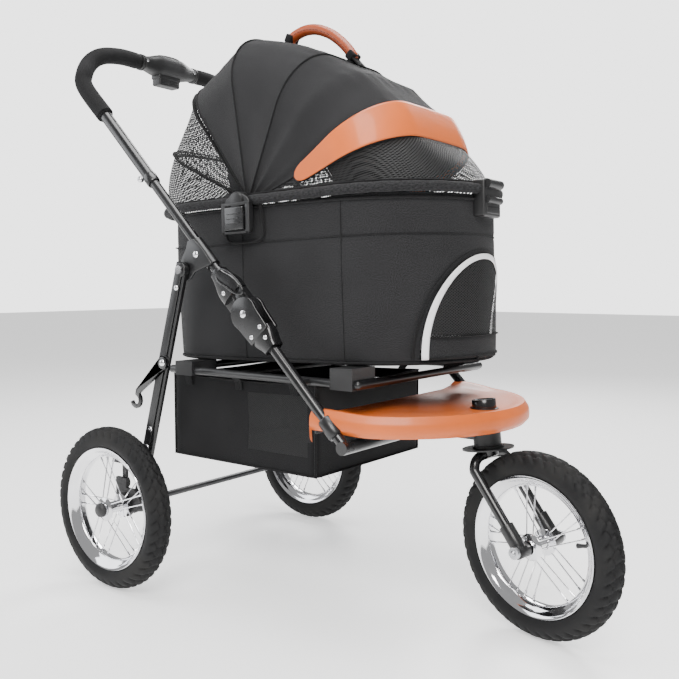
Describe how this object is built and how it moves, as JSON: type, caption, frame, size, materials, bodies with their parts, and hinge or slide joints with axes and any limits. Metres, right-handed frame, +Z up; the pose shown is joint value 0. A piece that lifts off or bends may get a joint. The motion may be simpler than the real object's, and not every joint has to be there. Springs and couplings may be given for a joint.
{
  "type": "pet stroller",
  "caption": "Folding three-wheel pet stroller with an oval lift-off fabric carrier, mesh windows, a hinged canopy, a front tray, a storage basket and a telescoping handle.",
  "frame": {"origin": "middle of the bounding box's base, on the floor", "axes": "+X forward, +Y to the stroller's left, +Z up"},
  "size_m": [1.0481, 0.646, 1.0549],
  "materials": {
    "black_paint": "gloss black powder coat",
    "chrome": "polished chrome plate",
    "steel": "zinc plated steel",
    "black_plastic": "fine-textured moulding",
    "foam": "matte closed-cell foam",
    "tyre": "moulded tread",
    "cloth": "woven polyester",
    "mesh": "open mesh",
    "pad_cloth": "quilted plush",
    "orange_leather": "smooth grain, stitched",
    "tan_leather": "smooth grain, stitched"
  },
  "bodies": {
    "chassis": {"lower_tubes": "black_paint", "hinge_sockets": "black_plastic", "support_frame": "black_paint", "dock_blocks": "black_plastic", "basket": "cloth", "tray_shell": "black_plastic", "tray_pad": "orange_leather", "steering_head": "black_plastic"},
    "lock_knob": {"swivel_lock_knob": "black_plastic"},
    "upper_frame": {"upper_tubes": "black_paint", "hinge_covers": "black_plastic", "leg_brackets": "black_paint", "frame_rivets": "steel"},
    "handle": {"handle_tube": "black_paint", "handle_grips": "foam", "control_box": "black_plastic"},
    "trigger": {"fold_trigger": "black_plastic"},
    "pin_left": {"height_pin_left": "chrome"},
    "pin_right": {"height_pin_right": "chrome"},
    "legs": {"rear_legs": "black_paint", "rear_axle": "steel", "brake_housings": "black_plastic", "leg_rivets": "steel"},
    "pedal_left": {"brake_pedal_left": "black_plastic"},
    "pedal_right": {"brake_pedal_right": "black_plastic"},
    "hook": {"fold_hook": "black_plastic"},
    "wheel_rear_left": {"tyre_rear_left": "tyre", "rim_rear_left": "chrome", "hub_rear_left": "chrome"},
    "wheel_rear_right": {"tyre_rear_right": "tyre", "rim_rear_right": "chrome", "hub_rear_right": "chrome"},
    "fork": {"fork_frame": "black_paint", "fork_dropouts": "black_plastic", "bearing_disc": "black_paint", "front_axle": "steel"},
    "wheel_front": {"tyre_front": "tyre", "rim_front": "chrome", "hub_front": "chrome"},
    "carrier": {"carrier_rim": "black_paint", "carrier_bag": "cloth", "carrier_base": "cloth", "carrier_floor": "black_plastic", "carrier_pad": "pad_cloth", "side_brackets": "black_plastic", "front_bracket": "black_plastic", "rear_pocket": "mesh", "rear_mesh": "mesh"},
    "canopy_rear": {"bow_rear": "black_paint", "panel_rear": "cloth"},
    "canopy_top": {"bow_top": "black_paint", "panel_top": "cloth", "carry_handle": "tan_leather"},
    "canopy_front": {"bow_front": "black_paint", "panel_front": "cloth", "visor": "orange_leather", "front_mesh": "mesh"},
    "door": {"front_door": "mesh"},
    "latch_left": {"side_latch_left": "black_plastic"},
    "latch_right": {"side_latch_right": "black_plastic"}
  },
  "joints": [
    {"name": "frame_fold", "type": "hinge", "parent": "chassis", "child": "upper_frame", "pos_m": [-0.047, 0, 0.513], "axis": [0, 1, 0], "range_deg": [0, 115]},
    {"name": "leg_fold", "type": "hinge", "parent": "upper_frame", "child": "legs", "pos_m": [-0.185, 0, 0.587], "axis": [0, -1, 0], "range_deg": [0, 128.8]},
    {"name": "handle_height", "type": "slide", "parent": "upper_frame", "child": "handle", "axis": [-0.7071, 0, 0.7071], "range_m": [-0.1, 0]},
    {"name": "fold_trigger_pull", "type": "slide", "parent": "handle", "child": "trigger", "axis": [0, 0, 1], "range_m": [0, 0.006], "stiffness_N_per_m": 400, "springref_m": -0.004},
    {"name": "height_pin_left_pull", "type": "slide", "parent": "handle", "child": "pin_left", "axis": [-0.7071, 0, -0.7071], "range_m": [0, 0.005], "stiffness_N_per_m": 400, "springref_m": -0.004},
    {"name": "height_pin_right_pull", "type": "slide", "parent": "handle", "child": "pin_right", "axis": [-0.7071, 0, -0.7071], "range_m": [0, 0.005], "stiffness_N_per_m": 400, "springref_m": -0.004},
    {"name": "rear_wheel_left_spin", "type": "hinge", "parent": "legs", "child": "wheel_rear_left", "pos_m": [-0.34, 0.288, 0.15], "axis": [0, 1, 0], "continuous": true},
    {"name": "rear_wheel_right_spin", "type": "hinge", "parent": "legs", "child": "wheel_rear_right", "pos_m": [-0.34, -0.288, 0.15], "axis": [0, 1, 0], "continuous": true},
    {"name": "brake_left", "type": "hinge", "parent": "legs", "child": "pedal_left", "pos_m": [-0.346, 0.254, 0.19], "axis": [0, -1, 0], "range_deg": [0, 18]},
    {"name": "brake_right", "type": "hinge", "parent": "legs", "child": "pedal_right", "pos_m": [-0.346, -0.254, 0.19], "axis": [0, -1, 0], "range_deg": [0, 18]},
    {"name": "fold_hook_swing", "type": "hinge", "parent": "legs", "child": "hook", "pos_m": [-0.227, -0.26, 0.423], "axis": [0, 1, 0], "range_deg": [-50, 60]},
    {"name": "front_swivel", "type": "hinge", "parent": "chassis", "child": "fork", "pos_m": [0.279, 0, 0.292], "axis": [-0.1167, 0, 0.9932], "continuous": true},
    {"name": "front_wheel_spin", "type": "hinge", "parent": "fork", "child": "wheel_front", "pos_m": [0.3774, -0.01874, 0.15001], "axis": [0.2234, 0.9744, 0.0262], "continuous": true},
    {"name": "swivel_lock_press", "type": "slide", "parent": "chassis", "child": "lock_knob", "axis": [-0.1167, 0, 0.9932], "range_m": [-0.006, 0]},
    {"name": "carrier_lift", "type": "slide", "parent": "chassis", "child": "carrier", "axis": [-0.0244, 0, 0.9997], "range_m": [0, 0.25]},
    {"name": "canopy_fold", "type": "hinge", "parent": "carrier", "child": "canopy_rear", "pos_m": [-0.106, 0, 0.703], "axis": [0, -1, 0], "range_deg": [0, 45]},
    {"name": "canopy_top_fold", "type": "hinge", "parent": "canopy_rear", "child": "canopy_top", "pos_m": [-0.106, 0, 0.703], "axis": [0, -1, 0], "range_deg": [0, 25.1]},
    {"name": "canopy_front_fold", "type": "hinge", "parent": "canopy_top", "child": "canopy_front", "pos_m": [-0.106, 0, 0.703], "axis": [0, -1, 0], "range_deg": [0, 20.1]},
    {"name": "front_door_open", "type": "hinge", "parent": "carrier", "child": "door", "pos_m": [0.27344, 0, 0.44419], "axis": [0, 1, 0], "range_deg": [0, 95]},
    {"name": "side_latch_left_press", "type": "slide", "parent": "carrier", "child": "latch_left", "axis": [0, -1, 0], "range_m": [0, 0.004], "stiffness_N_per_m": 600, "springref_m": -0.004},
    {"name": "side_latch_right_press", "type": "slide", "parent": "carrier", "child": "latch_right", "axis": [0, 1, 0], "range_m": [0, 0.004], "stiffness_N_per_m": 600, "springref_m": -0.004}
  ],
  "couplings": [
    {"joint": "leg_fold", "follows": "frame_fold", "ratio": 1.12},
    {"joint": "height_pin_right_pull", "follows": "height_pin_left_pull", "ratio": 1},
    {"joint": "canopy_top_fold", "follows": "canopy_fold", "ratio": 0.5556},
    {"joint": "canopy_front_fold", "follows": "canopy_fold", "ratio": 0.4444}
  ]
}
